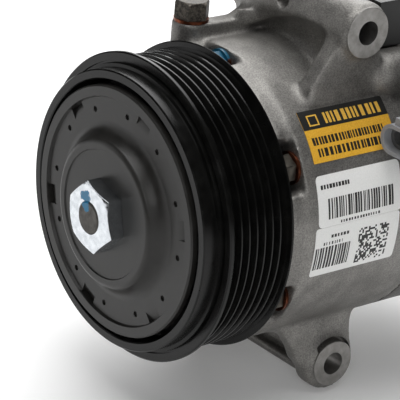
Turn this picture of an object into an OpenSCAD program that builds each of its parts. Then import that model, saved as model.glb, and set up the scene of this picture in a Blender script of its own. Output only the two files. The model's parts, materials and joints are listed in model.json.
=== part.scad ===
// Variable swash-plate compressor for a vehicle's air conditioning, with a seven-groove damper pulley.
// The shaft lies along Y with the pulley towards -Y, the mounting bores lie along X, and Z is up.
// The origin is on the shaft axis, at the centre plane of the belt.

/* [Pulley] */
// Diameter over the tips of the belt ribs
rib_tip_d = 112.1; // [110:0.1:113]
// Distance from one belt groove to the next
groove_pitch = 3.56; // [3.5:0.01:3.6]
// Number of belt grooves
groove_count = 7; // [6:1:7]
// Diameter of the front and rear flanges
flange_d = 117.2; // [115.5:0.1:118]
// Diameter of the smooth band in front of the front flange
band_d = 106.3; // [105:0.1:107]
// Outside diameter of the hub disc
disc_d = 95.1; // [94:0.1:96]

/* [Housing] */
// Diameter of the cylindrical body
body_d = 115; // [114:0.1:117]
// Front edge of the body
rim_y = 20.6; // [20:0.1:21.5]
// Joint between the front housing and the cylinder block
seam_y = 80.5; // [80:0.1:82]
// Joint between the cylinder block and the rear housing
rear_seam_y = 116; // [115.8:0.1:116.4]
// Rear end of the rear housing
rear_end_y = 152; // [150:0.5:158]

/* [Mounting] */
// Distance along the shaft from the belt's centre plane to the mounting bores
ear_y = 55; // [54:0.1:56]
// Height of the upper mounting bore above the shaft
upper_ear_z = 70.7; // [70:0.1:71.5]
// Depth of the lower mounting bore below the shaft
lower_ear_z = 63.9; // [63:0.1:64.5]
// Distance between the machined faces of each mounting tube
ear_span = 82; // [80:0.5:84]
// Diameter of the upper bore and of the lower bore on the connector's side
ear_bore_d = 9.2; // [9:0.1:10.5]
// Diameter of the other lower bore, which locates the bolt
locating_bore_d = 8.8; // [8.4:0.1:8.8]

/* [Inside] */
// Number of cylinders
cylinder_count = 6; // [6:1:6]
// Diameter of a cylinder bore
cylinder_d = 28; // [27.6:0.1:28]
// Distance from the shaft axis to a cylinder's axis
cylinder_pitch_r = 36; // [36:0.1:36.3]
// Diameter of the main shaft
shaft_d = 16; // [15.9:0.05:16.1]

/* [Hidden] */

round_fn = 96;
small_fn = 48;
cut = 1;                 // how far a cutter reaches past the face that it opens
fit_gap = 0.05;          // radial gap of a running or sliding fit
clear_gap = 0.3;         // gap between parts that pass each other

body_r = body_d / 2;
front_face_y = 14.4;     // front of the bolt lugs, behind the pulley
lug_r = body_r - 1.3;    // the rim in front of the body is a little smaller
bolt_count = 6;
bolt_phase = 30;         // the through-bolts sit half-way between the cylinders
bolt_pitch_r = 50.5;
bolt_r = 3.9;
bolt_hole_r = 4.3;
bolt_head_flats = 10;
bolt_head_h = 5;
bolt_seat_y = 20.8;
bolt_end_y = 141;
washer_t = 1.2;
washer_r = 6.3;
chamber_y = 29.5;        // front wall of the crank chamber
chamber_r = 44.3;
scallop_r = 15.2;
dowel_r = 2.4;
dowel_depth = 6;
dowel_pitch_r = 53.3;
dowel_phase = 15;
nose_front_y = -13;
nose_r = 17.5;
nose_bore_r = 14;
nose_wall_y = 4;         // the seal sits in front of the needle bearing

shaft_r = shaft_d / 2;
needle_r = 11;
lug_plate_y = 32.8;
lug_plate_t = 8.2;
swash_y = 57;
hinge_y = 47.5;
hinge_z = 14.2;
hinge_pin_r = 2;
swash_t = 6;
swash_r = 43.2;
shoe_r = 8.6;
piston_front_y = 44.5;
piston_clearance = 1;    // head clearance in front of the valve plate
gasket_t = 0.4;
reed_t = 0.3;
valve_plate_t = 3;
plates_y = rear_seam_y;
plates_t = 2 * reed_t + valve_plate_t;
plates_r = 45.5;

groove_half_bottom = 0.62;
groove_depth = 2.45;
groove_flank = tan(20);
tip_r = rib_tip_d / 2;
flange_r = flange_d / 2;
band_r = band_d / 2;
ring_inner_r = 49.55;
pulley_front_y = -23.7;
pulley_rear_y = 13.4;
belt_half = groove_count * groove_pitch / 2;
bearing_pitch_r = 23.2;
bearing_half = 9.5;
ball_r = 3.4;
ball_count = 12;
bearing_inner_r = nose_r;
bearing_outer_r = 28.5;

disc_r = disc_d / 2;
disc_y = -25;
boss_y = -29.9;
nut_seat_y = -29.4;
nut_t = 6.6;
nut_flats = 24.2;
nut_phase = 43.5;
thread_r = 6.2;
disc_t = 3.3;
disc_step = 1.1;         // height of the disc's outer ring over its face
disc_step_r = 43.3;
notch_phase = 11;
notch_w = 7.6;
notch_r0 = 38.6;
notch_r1 = 42.9;
dimple_phase = 25;
dimple_pitch_r = 38.6;
dimple_r = 1.1;

ear_half = ear_span / 2;
ear_bore_r = ear_bore_d / 2;
locating_bore_r = locating_bore_d / 2;
upper_face_r = 9.8;
upper_barrel_r = 11;
lower_face_r = 9.3;
lower_barrel_r = 11.7;
web_in_x = 31;
web_out_x = 37.5;
upper_web_x0 = 29.3;     // near end web of the upper bracket
upper_web_x1 = 37;
far_web_x0 = -27;        // far end web, beyond which the tube stands free
far_web_x1 = -18;
wall_front_y = 45;
wall_rear_y = 64;
scoop_y = 37;            // axis of the hollow under the upper tube
scoop_z = 60;
scoop_r = 12.8;
arch_x = 24;             // axis of the arch that limits the hollow at the top
arch_z = 8.6;
arch_r = 62;
boss_r = 9;             // cast passage boss behind the upper web
boss_front_y = 71.7;
clip_hole_x = 3.4;       // tapped hole for a harness clip
clip_hole_z = 73.8;

plug_x = -20;
plug_y = 20.8;
plug_seat_z = 62;
plug_boss_r = 7.2;
plug_thread_r = 3.95;
rib_x0 = -20.5;          // rib from the plug's boss back to the wall
rib_x1 = -12.8;
rib_corner_r = 8;

valve_x = 66;
valve_z = 34.2;
valve_boss_r = 14;
valve_bore_r = 9.5;
valve_seat_y = 84;
socket_front_y = 57;
socket_base_y = 66;
socket_rear_y = 68.5;
socket_w = 30;
socket_h = 11.6;
socket_wall = 1.5;
latch_w = 18;
seal_t = 5;
pin_x = 4;
pin_r = 0.85;

port_y = 98;
port_z = 72;
port_block_x0 = -25;
port_block_x1 = 27;
port_block_y0 = 84;
port_block_y1 = 114;
suction_x = -12;
suction_r = 8;
discharge_x = 15;
discharge_r = 6;
cover_wall = 2.7;
cover_front_y = 70;
cover_skirt_z = 59;
cover_top_z = 77;
cover_screw_x = 3;
cover_screw_y = 107;
relief_y = 134;
relief_seat = 1.6;       // depth of the spot face round the relief valve
relief_r = 4;
passage_z = 50.6;
passage_r = 2.3;
sticker_t = 0.2;

// Turns a shape built along Z so that it lies along the shaft.
module along_y(y = 0) {
    translate([0, y, 0]) rotate([-90, 0, 0]) children();
}

// Turns a shape that lies on the +X side to an angle from +X towards +Z.
module at_angle(angle) {
    rotate([0, -angle, 0]) children();
}

module around(count, phase = 0) {
    for (i = [0:count - 1]) at_angle(phase + i * 360 / count) children();
}

module rod_y(r, y0, y1, fn = round_fn) {
    along_y(y0) cylinder(r = r, h = y1 - y0, $fn = fn);
}

module tube_y(r_out, r_in, y0, y1, fn = round_fn) {
    difference() {
        rod_y(r_out, y0, y1, fn);
        rod_y(r_in, y0 - cut, y1 + cut, fn);
    }
}

module rod_x(r, x0, x1, fn = small_fn) {
    translate([x0, 0, 0]) rotate([0, 90, 0]) cylinder(r = r, h = x1 - x0, $fn = fn);
}

// Turns a list of [radius, place along the shaft] points about the shaft.
module turned(points) {
    along_y() rotate_extrude($fn = round_fn) polygon(points);
}

// A flat outline in the Y-Z plane, thick along X.
module plate_x(x0, x1) {
    translate([x0, 0, 0]) rotate([90, 0, 90]) linear_extrude(height = x1 - x0) children();
}

// A prism that covers the angles from -half to +half about +X, out to the radius r.
module sector(half, r, y0, y1) {
    reach = r / cos(half);
    along_y(y0) linear_extrude(height = y1 - y0)
        polygon([[0, 0], [reach * cos(half), -reach * sin(half)], [reach * cos(half), reach * sin(half)]]);
}

function arc(cx, cy, r, from, to, steps = 8) =
    [for (i = [0:steps]) let (a = from + (to - from) * i / steps) [cx + r * cos(a), cy + r * sin(a)]];

// A coil spring about the shaft, made of short straight lengths of wire.
module coil_spring(y0, y1, r, wire_r, turns) {
    per_turn = 14;
    sides = 8;
    rings = turns * per_turn;
    points = [for (i = [0:rings], j = [0:sides - 1])
        let (a = i * 360 / per_turn, b = j * 360 / sides, reach = r + wire_r * cos(b))
        [reach * cos(a), y0 + wire_r + (y1 - y0 - 2 * wire_r) * i / rings + wire_r * sin(b), reach * sin(a)]];
    walls = [for (i = [0:rings - 1], j = [0:sides - 1])
        let (k = (j + 1) % sides)
        [i * sides + j, i * sides + k, (i + 1) * sides + k, (i + 1) * sides + j]];
    start = [for (j = [sides - 1:-1:0]) j];
    finish = [for (j = [0:sides - 1]) rings * sides + j];
    polyhedron(points, concat([start], walls, [finish]), convexity = 8);
}

// ---- Front housing --------------------------------------------------------------------------

// Outline of one bolt pocket, seen along the shaft, with the bolt on +X.
module pocket_outline() {
    circle(r = 9, $fn = small_fn);
    polygon([[0, -9], [12, -13.5], [12, 13.5], [0, 9]]);
}

module crank_chamber(y0, y1) {
    rod_y(chamber_r, y0, y1);
    around(cylinder_count) translate([cylinder_pitch_r + 0.5, 0, 0]) rod_y(scallop_r, y0, y1, small_fn);
}

// The upper bracket: a tube across the body on a hollowed wall, with a web at each end.
module upper_bracket() {
    difference() {
        union() {
            translate([0, ear_y, upper_ear_z]) {
                rod_x(upper_barrel_r, far_web_x0, ear_half - 2.2, round_fn);
                rod_x(upper_face_r, -ear_half, ear_half, round_fn);
            }
            plate_x(rib_x0, upper_web_x1)
                polygon([[wall_front_y, 40], [wall_front_y, upper_ear_z], [wall_rear_y, upper_ear_z],
                    [wall_rear_y, 40]]);
            rib_corner();
        }
        // Hollow in the front of the wall, below an arched lip
        intersection() {
            translate([0, scoop_y, scoop_z]) rod_x(scoop_r, rib_x1, upper_web_x0, round_fn);
            translate([arch_x, 0, arch_z]) rod_y(arch_r, scoop_y - scoop_r, wall_rear_y);
        }
    }
    // Near web with a sharp front ridge
    plate_x(upper_web_x0, upper_web_x1)
        polygon([[32, 40], [33.5, 50.5], [38.4, 57.6], [42.9, 64], [45.2, 69], [46, upper_ear_z],
            [66, upper_ear_z], [67.5, 40]]);
    plate_x(far_web_x0, far_web_x1)
        polygon([[47.5, 40], [47.5, 66], [49, upper_ear_z], [66, upper_ear_z], [67.5, 40]]);
    plate_x(rib_x0, rib_x1)
        polygon([[plug_y, 40], [plug_y, plug_seat_z], [38.5, plug_seat_z], [44, 64.7], [47, 68], [50, 68],
            [50, 40]]);
}

// Rounded corner between the rib and the wall
module rib_corner() {
    centre_x = rib_x1 + rib_corner_r;
    centre_y = wall_front_y - rib_corner_r;
    translate([0, 0, 44]) linear_extrude(height = 22) difference() {
        translate([rib_x1 - 1, centre_y]) square([rib_corner_r + 1, rib_corner_r + 1]);
        translate([centre_x, centre_y]) circle(r = rib_corner_r, $fn = small_fn);
    }
}

// The lower bracket: two barrels, each on a web, joined by a thin wall with a beaded edge.
module lower_bracket() {
    for (side = [-1, 1]) {
        x0 = side > 0 ? web_in_x : -web_out_x;
        x1 = side > 0 ? web_out_x : -web_in_x;
        translate([0, ear_y, -lower_ear_z]) {
            rod_x(lower_barrel_r, side > 0 ? web_in_x : -ear_half + 2.4,
                side > 0 ? ear_half - 2.4 : -web_in_x, round_fn);
            rod_x(lower_face_r, side > 0 ? web_in_x : -ear_half, side > 0 ? ear_half : -web_in_x, round_fn);
        }
        plate_x(x0, x1)
            polygon([[27, -38], [28.5, -45], [33, -50], [36.6, -55.5], [39.2, -61], [43.6, -66],
                [54, -66], [66, -64], [66, -56], [65.2, -49], [67.5, -38]]);
    }
    // The wall passes behind the bolt, and its foot comes forward to the bead
    plate_x(-web_in_x - 1, web_in_x + 1)
        polygon([[60.4, -40], [60.4, -71.5], [56.2, -73], [56.2, -76], [63.4, -74], [63.4, -40]]);
    translate([0, 56.2, -74.2]) rod_x(1.9, -web_in_x - 1, web_in_x + 1);
}

module front_housing() {
    color([0.60, 0.60, 0.59]) difference() {
        union() {
            rod_y(nose_r, nose_front_y, chamber_y);
            turned([[0, front_face_y], [lug_r - 1, front_face_y], [lug_r, front_face_y + 1],
                [lug_r, rim_y - 0.8], [body_r, rim_y], [body_r, seam_y], [0, seam_y]]);
            translate([plug_x, plug_y, 30]) cylinder(r = plug_boss_r, h = plug_seat_z - 30, $fn = round_fn);
            upper_bracket();
            lower_bracket();
            // Cast passage boss behind the upper web
            translate([33, 0, 50]) {
                rod_y(boss_r, boss_front_y, seam_y);
                translate([0, boss_front_y, 0]) sphere(r = boss_r, $fn = small_fn);
            }
        }
        crank_chamber(chamber_y, seam_y + cut);
        rod_y(nose_bore_r, nose_front_y - cut, nose_wall_y);
        rod_y(needle_r, nose_wall_y - cut, chamber_y + cut);
        turned([[nose_r - 1.1, nose_front_y + 1.9], [nose_r + 1, nose_front_y + 1.9],
            [nose_r + 1, nose_front_y + 3.4], [nose_r - 1.1, nose_front_y + 3.4]]);
        around(bolt_count, bolt_phase) translate([bolt_pitch_r, 0, 0]) {
            along_y(front_face_y - cut) linear_extrude(height = bolt_seat_y - front_face_y + cut)
                pocket_outline();
            rod_y(bolt_hole_r, bolt_seat_y - cut, seam_y + cut, small_fn);
        }
        translate([0, ear_y, upper_ear_z]) rod_x(ear_bore_r, -ear_half - cut, ear_half + cut, round_fn);
        translate([0, ear_y, -lower_ear_z]) {
            rod_x(ear_bore_r, 0, ear_half + cut, round_fn);
            rod_x(locating_bore_r, -ear_half - cut, 0, round_fn);
        }
        // Oil hole and its passage to the crank chamber
        translate([plug_x, plug_y, 42]) cylinder(r = plug_thread_r + fit_gap, h = 30, $fn = small_fn);
        translate([plug_x, 0, 43.5]) rod_y(2, plug_y, chamber_y + cut, small_fn);
        dowel_places() rod_y(dowel_r + fit_gap, seam_y - dowel_depth, seam_y + cut, small_fn);
        // Tapped hole for a harness clip in the front of the tube
        translate([clip_hole_x, 0, clip_hole_z]) rod_y(3.2, wall_front_y - 5, wall_front_y + 3.6, small_fn);
    }
}

module dowel_places() {
    around(2, dowel_phase) translate([dowel_pitch_r, 0, 0]) children();
}

module locating_dowels() {
    color([0.55, 0.56, 0.58]) dowel_places()
        rod_y(dowel_r, seam_y - dowel_depth + clear_gap, seam_y + dowel_depth - clear_gap, small_fn);
}

// ---- Cylinder block, plates and rear housing ------------------------------------------------

module bolt_holes(y0, y1) {
    around(bolt_count, bolt_phase) translate([bolt_pitch_r, 0, 0]) rod_y(bolt_hole_r, y0, y1, small_fn);
}

module cylinder_bores(r, y0, y1) {
    around(cylinder_count) translate([cylinder_pitch_r, 0, 0]) rod_y(r, y0, y1);
}

module front_gasket() {
    color([0.12, 0.12, 0.12]) difference() {
        rod_y(body_r - 0.4, seam_y, seam_y + gasket_t);
        crank_chamber(seam_y - cut, seam_y + gasket_t + cut);
        bolt_holes(seam_y - cut, seam_y + gasket_t + cut);
        dowel_places() rod_y(dowel_r + fit_gap, seam_y - cut, seam_y + gasket_t + cut, small_fn);
    }
}

module cylinder_block() {
    block_y = seam_y + gasket_t;
    color([0.60, 0.60, 0.59]) difference() {
        union() {
            rod_y(body_r, block_y, rear_seam_y - gasket_t);
            // Boss that holds the control valve, on a web from the body
            translate([valve_x, 0, valve_z]) rod_y(valve_boss_r, valve_seat_y, rear_seam_y - gasket_t - 1);
            along_y(valve_seat_y) linear_extrude(height = rear_seam_y - gasket_t - 1 - valve_seat_y)
                polygon([[30, -48], [valve_x, -valve_z - valve_boss_r], [valve_x, -valve_z + valve_boss_r],
                    [50, -10]]);
            // Port block on top
            translate([port_block_x0, port_block_y0, 40])
                cube([port_block_x1 - port_block_x0, port_block_y1 - port_block_y0, port_z - 40]);
        }
        cylinder_bores(cylinder_d / 2, block_y - cut, rear_seam_y + cut);
        rod_y(needle_r, block_y - cut, 105.3);
        rod_y(4, 100, rear_seam_y + cut, small_fn);
        bolt_holes(block_y - cut, rear_seam_y + cut);
        dowel_places() rod_y(dowel_r + fit_gap, block_y - cut, block_y + dowel_depth, small_fn);
        translate([valve_x, 0, valve_z]) rod_y(valve_bore_r, valve_seat_y - cut, 112);
        // Suction and discharge ports and the tapped hole between them
        translate([suction_x, port_y, 51.5]) cylinder(r = suction_r, h = 30, $fn = round_fn);
        translate([discharge_x, port_y, 51.5]) cylinder(r = discharge_r, h = 30, $fn = round_fn);
        translate([cover_screw_x, cover_screw_y, 62]) cylinder(r = 3, h = 20, $fn = small_fn);
        port_passages(port_y, rear_seam_y + cut);
    }
}

// The two passages that carry the gas from the ports to the rear housing
module port_passages(y0, y1) {
    translate([suction_x, 0, passage_z]) rod_y(passage_r, y0, y1, small_fn);
    translate([discharge_x, 0, passage_z]) rod_y(passage_r, y0, y1, small_fn);
}

module rear_gasket() {
    color([0.12, 0.12, 0.12]) difference() {
        rod_y(body_r - 0.4, rear_seam_y - gasket_t, rear_seam_y);
        cylinder_bores(cylinder_d / 2 + 0.3, rear_seam_y - gasket_t - cut, rear_seam_y + cut);
        rod_y(4, rear_seam_y - gasket_t - cut, rear_seam_y + cut, small_fn);
        bolt_holes(rear_seam_y - gasket_t - cut, rear_seam_y + cut);
        port_passages(rear_seam_y - gasket_t - cut, rear_seam_y + cut);
    }
}

module suction_reed_plate() {
    // Each reed is a tongue left by a U-shaped slot
    color([0.62, 0.64, 0.66]) difference() {
        rod_y(plates_r, plates_y, plates_y + reed_t);
        around(cylinder_count) translate([cylinder_pitch_r + 2, 0, 0]) along_y(plates_y - cut)
            linear_extrude(height = reed_t + 2 * cut) difference() {
                square([14, 9], center = true);
                translate([-1.2, 0]) square([14, 6.6], center = true);
            }
    }
}

module valve_plate() {
    color([0.50, 0.51, 0.53]) difference() {
        rod_y(plates_r, plates_y + reed_t, plates_y + reed_t + valve_plate_t);
        around(cylinder_count) {
            translate([cylinder_pitch_r + 4, 0, 0])
                rod_y(2.6, plates_y, plates_y + reed_t + valve_plate_t + cut, small_fn);
            translate([cylinder_pitch_r - 10.5, 0, 0])
                rod_y(2.2, plates_y, plates_y + reed_t + valve_plate_t + cut, small_fn);
        }
    }
}

module discharge_reed_plate() {
    reed_y = plates_y + reed_t + valve_plate_t;
    color([0.62, 0.64, 0.66]) {
        tube_y(12, 4, reed_y, reed_y + reed_t);
        around(cylinder_count) translate([8, 0, 0]) along_y(reed_y) linear_extrude(height = reed_t) {
            translate([0, -3]) square([18, 6]);
            translate([18, 0]) circle(r = 3, $fn = small_fn);
        }
    }
}

module rear_housing() {
    turn_y = rear_end_y - 10.5;
    color([0.58, 0.58, 0.57]) difference() {
        union() {
            turned([[0, rear_seam_y], [body_r, rear_seam_y], [body_r, rear_end_y - 12],
                [body_r - 4, rear_end_y - 6], [body_r - 14, rear_end_y], [0, rear_end_y]]);
            // Ribs on the rear face
            around(bolt_count, bolt_phase) translate([0, rear_end_y - 2, -2]) cube([42, 4, 4]);
            rod_y(16, rear_end_y - 2, rear_end_y + 3);
        }
        // Recess for the valve plates, discharge chamber and ring-shaped suction chamber
        rod_y(plates_r + 0.2, rear_seam_y - cut, plates_y + plates_t);
        rod_y(27, rear_seam_y, rear_end_y - 8);
        tube_y(44.5, 30, rear_seam_y, rear_end_y - 14);
        // Passages from the ports: the shorter one to the suction chamber, the longer one past it
        translate([suction_x, 0, passage_z]) rod_y(passage_r, rear_seam_y - cut, 124, small_fn);
        translate([suction_x, 122, 38]) cylinder(r = passage_r, h = passage_z - 38, $fn = small_fn);
        translate([discharge_x, 0, passage_z]) rod_y(passage_r, rear_seam_y - cut, turn_y, small_fn);
        translate([discharge_x, turn_y, 18]) cylinder(r = passage_r, h = passage_z - 18, $fn = small_fn);
        around(bolt_count, bolt_phase) translate([bolt_pitch_r, 0, 0])
            rod_y(bolt_r + fit_gap, rear_seam_y - cut, bolt_end_y + 2, small_fn);
        // Relief valve hole in the side of the discharge chamber
        translate([-body_r - cut, relief_y, 0]) rod_x(relief_r, 0, body_r - 20, small_fn);
        // Spot face round the relief valve hole
        translate([-body_r - cut, relief_y, 0]) rod_x(2 * relief_r, 0, cut + relief_seat, small_fn);
    }
}

// ---- Fasteners and plugs --------------------------------------------------------------------

// A hexagonal head along +Z with its corners turned off at the top.
module hex_head(flats, h) {
    r = flats / sqrt(3);
    intersection() {
        cylinder(r = r, h = h, $fn = 6);
        rotate_extrude($fn = round_fn) polygon([[0, 0], [r, 0], [r, h - 0.9], [flats / 2 - 0.3, h], [0, h]]);
    }
}

module through_bolts() {
    head_y = bolt_seat_y - washer_t;
    color([0.30, 0.29, 0.27]) around(bolt_count, bolt_phase) translate([bolt_pitch_r, 0, 0]) {
        rod_y(bolt_r, head_y, bolt_end_y, small_fn);
        translate([0, head_y, 0]) rotate([90, 0, 0]) hex_head(bolt_head_flats, bolt_head_h);
    }
}

module bolt_washers() {
    color([0.72, 0.38, 0.24]) around(bolt_count, bolt_phase) translate([bolt_pitch_r, 0, 0])
        tube_y(washer_r, bolt_hole_r - 0.1, bolt_seat_y - washer_t, bolt_seat_y, small_fn);
}

module oil_plug() {
    color([0.27, 0.25, 0.22]) translate([plug_x, plug_y, 0]) {
        translate([0, 0, plug_seat_z + washer_t]) rotate([0, 0, 12]) hex_head(12, 7);
        translate([0, 0, plug_seat_z - 12]) cylinder(r = plug_thread_r, h = 12 + washer_t, $fn = small_fn);
    }
}

module oil_plug_washer() {
    color([0.72, 0.38, 0.24]) translate([plug_x, plug_y, plug_seat_z]) difference() {
        cylinder(r = 6.7, h = washer_t, $fn = small_fn);
        translate([0, 0, -cut]) cylinder(r = plug_thread_r + fit_gap, h = washer_t + 2 * cut, $fn = small_fn);
    }
}

module relief_valve() {
    color([0.62, 0.55, 0.36]) translate([-body_r + relief_seat, relief_y, 0]) rotate([0, -90, 0]) {
        hex_head(12, 6);
        translate([0, 0, 6]) cylinder(r = 3, h = 3, $fn = small_fn);
        translate([0, 0, -14]) cylinder(r = relief_r - fit_gap, h = 14, $fn = small_fn);
    }
}

module discharge_check_valve() {
    color([0.20, 0.20, 0.21]) translate([discharge_x, port_y, 0]) difference() {
        translate([0, 0, 66]) cylinder(r = discharge_r - 0.1, h = 5, $fn = small_fn);
        translate([0, 0, 65]) cylinder(r = 3, h = 4, $fn = small_fn);
    }
}

// A cover that fits over the port block, with its wall 0.3 mm clear of the block all round.
module port_cover() {
    inner_x = port_block_x0 - clear_gap;
    inner_w = port_block_x1 - port_block_x0 + 2 * clear_gap;
    inner_y = cover_front_y + cover_wall;
    inner_l = port_block_y1 + clear_gap - inner_y;
    color([0.07, 0.07, 0.07]) difference() {
        translate([inner_x - cover_wall, cover_front_y, cover_skirt_z])
            cube([inner_w + 2 * cover_wall, inner_l + 2 * cover_wall, cover_top_z - cover_skirt_z]);
        translate([inner_x, inner_y, cover_skirt_z - cut])
            cube([inner_w, inner_l, port_z + clear_gap - cover_skirt_z + cut]);
        // Clearance for the valve boss's web behind and for the body below
        along_y(cover_front_y - cut) cylinder(r = body_r + 1, h = 60, $fn = round_fn);
        translate([cover_screw_x, cover_screw_y, 60]) cylinder(r = 3.3, h = 30, $fn = small_fn);
        for (i = [0:4]) translate([inner_x + 3.3 + i * 11, inner_y + 3.3, cover_top_z - 1]) cube([4, 24, 3]);
    }
}

module port_cover_screw() {
    color([0.35, 0.35, 0.36]) translate([cover_screw_x, cover_screw_y, 0]) {
        translate([0, 0, 64]) cylinder(r = 2.95, h = cover_top_z - 63, $fn = small_fn);
        translate([0, 0, cover_top_z]) hex_head(10, 5);
    }
}

// ---- Shaft line -----------------------------------------------------------------------------

module drive_shaft() {
    color([0.40, 0.40, 0.41]) turned([[0, -36.4], [thread_r - 0.6, -36.4], [thread_r, -35.8], [thread_r, -28],
        [6.5, -27.5], [6.5, -10], [shaft_r, -9], [shaft_r, 101.6], [shaft_r - 0.6, 102], [0, 102]]);
}

module shaft_seal() {
    color([0.08, 0.08, 0.08]) difference() {
        rod_y(nose_bore_r - 0.02, -4, nose_wall_y);
        rod_y(shaft_r + fit_gap, -4 - cut, nose_wall_y + cut);
        tube_y(11.5, 9.5, -4 - cut, 1);
    }
}

module seal_retaining_ring() {
    color([0.35, 0.36, 0.38]) difference() {
        tube_y(nose_bore_r - 0.02, 11.5, -5.6, -4.4);
        at_angle(90) translate([10, -7, -2]) cube([6, 4, 4]);
    }
}

module needle_bearing(y0, y1) {
    color([0.55, 0.56, 0.58]) tube_y(needle_r - 0.02, shaft_r + fit_gap, y0, y1);
}

module front_needle_bearing() { needle_bearing(nose_wall_y + 1, 27); }
module rear_needle_bearing() { needle_bearing(84, 100); }

module front_thrust_bearing() {
    color([0.55, 0.56, 0.58]) tube_y(24, 12, chamber_y, lug_plate_y - clear_gap);
}

module rear_thrust_bearing() {
    color([0.55, 0.56, 0.58]) rod_y(needle_r - 0.1, 102 + clear_gap, 105.3);
}

module lug_plate() {
    arm_y = lug_plate_y + lug_plate_t;
    color([0.42, 0.42, 0.43]) difference() {
        union() {
            turned([[shaft_r, lug_plate_y], [26, lug_plate_y], [28, lug_plate_y + 1.5],
                [40, lug_plate_y + 1.5], [40, arm_y], [shaft_r, arm_y]]);
            // Balance weight opposite the hinge
            intersection() {
                tube_y(40, 24, arm_y - 1, arm_y + 2.2);
                at_angle(-90) sector(60, 60, arm_y - 2, arm_y + 3);
            }
            for (side = [-1, 1]) translate([side * 8.5 - 2.5, arm_y - 1, 10]) cube([5, 10.5, 8]);
        }
        translate([0, hinge_y, hinge_z]) rod_x(hinge_pin_r + fit_gap, -14, 14);
    }
}

module hinge_pin() {
    color([0.60, 0.61, 0.63]) translate([0, hinge_y, hinge_z]) rod_x(hinge_pin_r, -11.5, 11.5);
}

module swash_plate() {
    color([0.55, 0.50, 0.40]) difference() {
        union() {
            rod_y(swash_r, swash_y - swash_t / 2, swash_y + swash_t / 2);
            rod_y(19.5, swash_y - 4.5, swash_y + 5);
            translate([-5.6, 43.5, 11]) cube([11.2, 12, 6.8]);
        }
        rod_y(shaft_r + 0.4, swash_y - 20, swash_y + 20);
        translate([0, hinge_y, hinge_z]) rod_x(hinge_pin_r + fit_gap, -14, 14);
    }
}

module destroke_spring() {
    color([0.50, 0.51, 0.53]) coil_spring(lug_plate_y + lug_plate_t + 0.1, swash_y - 4.6, 9.4, 0.7, 3.5);
}

module return_spring() {
    color([0.50, 0.51, 0.53]) coil_spring(swash_y + 5.1, 74, 9.4, 0.7, 4);
}

// A double-legged piston: a closed cylinder whose front end reaches over the rim of the swash plate.
module piston(index) {
    color([0.66, 0.67, 0.68]) at_angle(index * 360 / cylinder_count) difference() {
        translate([cylinder_pitch_r, 0, 0])
            rod_y(cylinder_d / 2 - fit_gap, piston_front_y, rear_seam_y - gasket_t - piston_clearance);
        rod_y(swash_r + 1.1, swash_y - 5.2, swash_y + 5.2);
        translate([cylinder_pitch_r, swash_y, 0]) sphere(r = shoe_r + fit_gap, $fn = small_fn);
        // Ring groove near the head
        translate([cylinder_pitch_r, 0, 0]) tube_y(cylinder_d / 2 + 1, cylinder_d / 2 - 1.2, 108, 110);
    }
}

module piston_1() { piston(0); }
module piston_2() { piston(1); }
module piston_3() { piston(2); }
module piston_4() { piston(3); }
module piston_5() { piston(4); }
module piston_6() { piston(5); }

module piston_shoes() {
    face = swash_t / 2 + fit_gap;
    color([0.45, 0.46, 0.48]) around(cylinder_count) translate([cylinder_pitch_r, swash_y, 0]) difference() {
        sphere(r = shoe_r, $fn = small_fn);
        rod_y(shoe_r + cut, -face, face, small_fn);
    }
}

// ---- Pulley, its bearing and its hub --------------------------------------------------------

module pulley_bearing_inner_race() {
    color([0.62, 0.63, 0.65]) difference() {
        tube_y(21.4, bearing_inner_r, -bearing_half, bearing_half);
        along_y() rotate_extrude($fn = round_fn) translate([bearing_pitch_r, 0])
            circle(r = ball_r + fit_gap, $fn = small_fn);
    }
}

module pulley_bearing_outer_race() {
    color([0.62, 0.63, 0.65]) difference() {
        tube_y(bearing_outer_r, 25, -bearing_half, bearing_half);
        along_y() rotate_extrude($fn = round_fn) translate([bearing_pitch_r, 0])
            circle(r = ball_r + fit_gap, $fn = small_fn);
    }
}

module bearing_balls() {
    color([0.75, 0.76, 0.78]) around(ball_count) translate([bearing_pitch_r, 0, 0])
        sphere(r = ball_r, $fn = small_fn);
}

module bearing_cage() {
    color([0.72, 0.60, 0.30]) difference() {
        tube_y(24.3, 22.1, -4.6, 4.6);
        around(ball_count) translate([bearing_pitch_r, 0, 0]) sphere(r = ball_r + 0.1, $fn = small_fn);
    }
}

module pulley_snap_ring() {
    color([0.30, 0.31, 0.33]) difference() {
        tube_y(19.6, nose_r - 1, nose_front_y + 2, nose_front_y + 3.3);
        at_angle(-90) translate([15, nose_front_y, -2.5]) cube([6, 5, 5]);
    }
}

// Half of the width of a groove at a given radius
function groove_half(r) = groove_half_bottom + (r - tip_r + groove_depth) * groove_flank;

function groove_points(i) =
    let (y = (i - (groove_count - 1) / 2) * groove_pitch, top = groove_half(tip_r))
    [[tip_r, y - top], [tip_r - groove_depth, y - groove_half_bottom],
        [tip_r - groove_depth, y + groove_half_bottom], [tip_r, y + top]];

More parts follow.
